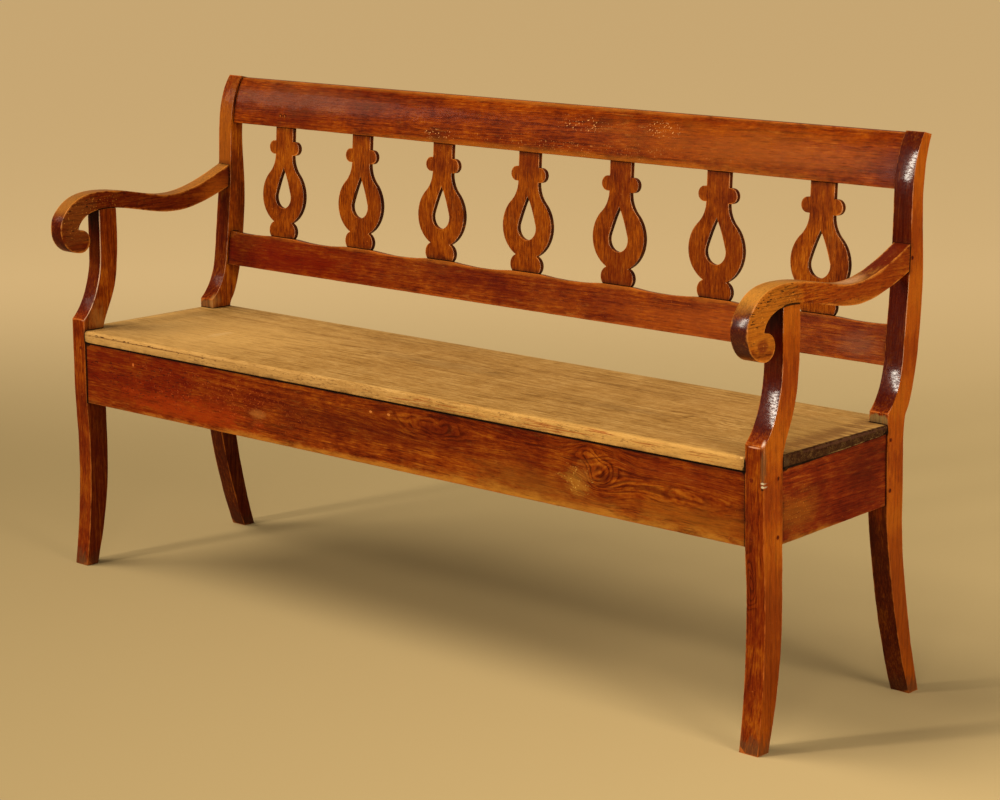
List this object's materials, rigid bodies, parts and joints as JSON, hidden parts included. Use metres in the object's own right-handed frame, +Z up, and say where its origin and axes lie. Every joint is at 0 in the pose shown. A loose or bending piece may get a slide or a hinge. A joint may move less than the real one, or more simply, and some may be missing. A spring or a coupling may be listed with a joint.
{
  "type": "settle bench",
  "caption": "Long joined wooden bench with a plank seat, scroll arms, curved sabre legs and an open back of pierced lyre-shaped splats between two rails.",
  "frame": {"origin": "on the floor, under the middle of the whole bench", "axes": "+X along the bench to the right of someone looking at its front, -Y the way the sitter faces, +Z up"},
  "size_m": [1.6658, 0.4754, 0.92],
  "materials": {
    "post_wood": "satin, polished, worn pale on the arrises",
    "arm_wood": "satin, polished, worn golden at the scrolls",
    "back_wood": "satin, polished, worn orange on the arrises",
    "splat_wood": "satin, polished, grain upright",
    "rail_wood": "satin, polished, mottled red to orange brown",
    "seat_wood": "worn, pale golden tan with grey-brown streaks",
    "hidden_wood": "plain, sawn, without polish",
    "peg_wood": "dark end grain"
  },
  "bodies": {
    "root": {"arm_pegs": "peg_wood", "crest_rail": "back_wood", "crest_repair_pegs": "peg_wood", "front_left_post": "post_wood", "front_rail_pegs": "peg_wood", "front_right_post": "post_wood", "front_seat_rail": "rail_wood", "left_arm": "arm_wood", "left_bearer": "hidden_wood", "left_seat_rail": "rail_wood", "lower_back_rail": "back_wood", "rear_left_post": "post_wood", "rear_right_post": "post_wood", "rear_seat_rail": "hidden_wood", "right_arm": "arm_wood", "right_bearer": "hidden_wood", "right_seat_rail": "rail_wood", "seat_plank": "seat_wood", "side_rail_pegs": "peg_wood", "splat_1": "splat_wood", "splat_2": "splat_wood", "splat_3": "splat_wood", "splat_4": "splat_wood", "splat_5": "splat_wood", "splat_6": "splat_wood", "splat_7": "splat_wood"}
  },
  "joints": []
}
